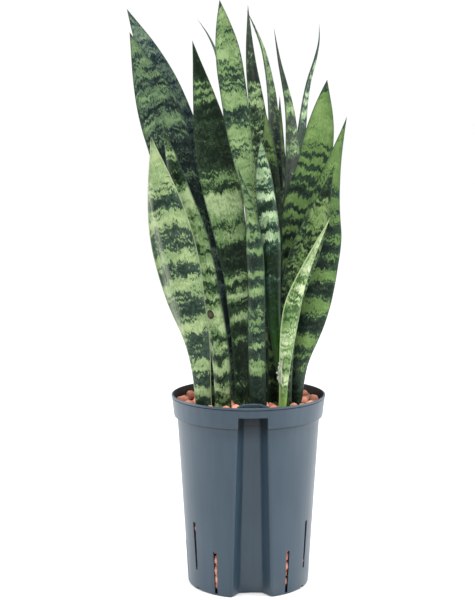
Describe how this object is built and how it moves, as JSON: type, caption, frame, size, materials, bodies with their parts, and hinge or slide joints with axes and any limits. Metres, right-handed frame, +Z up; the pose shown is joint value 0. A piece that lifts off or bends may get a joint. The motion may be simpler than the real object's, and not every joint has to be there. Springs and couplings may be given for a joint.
{
  "type": "potted snake plant",
  "caption": "Upright snake plant with banded dark and light green sword leaves, growing in red clay granules in a grey slotted plastic hydroculture pot.",
  "frame": {"origin": "centre of the pot's flat base pad, on the ground plane", "axes": "+Z up along the pot's axis, -Y towards the groove for the water gauge, +X to the right seen from the groove side"},
  "size_m": [0.21, 0.1516, 0.5693],
  "materials": {
    "pot_plastic": "satin",
    "burnt_clay": "matte",
    "leaf_green": "satin",
    "leaf_pale": "satin",
    "rhizome": "matte"
  },
  "bodies": {
    "root": {"clay_granule_bed": "burnt_clay", "culture_pot": "pot_plastic", "granule_01": "burnt_clay", "granule_02": "burnt_clay", "granule_03": "burnt_clay", "granule_04": "burnt_clay", "granule_05": "burnt_clay", "granule_06": "burnt_clay", "granule_07": "burnt_clay", "granule_08": "burnt_clay", "granule_09": "burnt_clay", "granule_10": "burnt_clay", "granule_11": "burnt_clay", "granule_12": "burnt_clay", "granule_13": "burnt_clay", "granule_14": "burnt_clay", "granule_15": "burnt_clay", "granule_16": "burnt_clay", "granule_17": "burnt_clay", "granule_18": "burnt_clay", "granule_19": "burnt_clay", "granule_20": "burnt_clay", "granule_21": "burnt_clay", "granule_22": "burnt_clay", "granule_23": "burnt_clay", "granule_24": "burnt_clay", "granule_25": "burnt_clay", "granule_26": "burnt_clay", "granule_27": "burnt_clay", "granule_28": "burnt_clay", "granule_29": "burnt_clay", "granule_30": "burnt_clay", "granule_31": "burnt_clay", "granule_32": "burnt_clay", "granule_33": "burnt_clay", "leaf_arched": "leaf_green", "leaf_back_edge": "leaf_green", "leaf_back_left": "leaf_green", "leaf_back_olive": "leaf_green", "leaf_centre_back": "leaf_green", "leaf_centre_front": "leaf_green", "leaf_centre_short": "leaf_green", "leaf_centre_tall": "leaf_green", "leaf_cream_narrow": "leaf_pale", "leaf_cream_wide": "leaf_pale", "leaf_curved_right": "leaf_green", "leaf_dark_wide": "leaf_green", "leaf_left_big": "leaf_green", "leaf_left_short": "leaf_green", "leaf_left_tall": "leaf_green", "leaf_right_big": "leaf_green", "leaf_right_front": "leaf_green", "leaf_right_tall": "leaf_green", "leaf_twisted": "leaf_green", "rhizome_back": "rhizome", "rhizome_front": "rhizome", "rhizome_middle": "rhizome"}
  },
  "joints": []
}
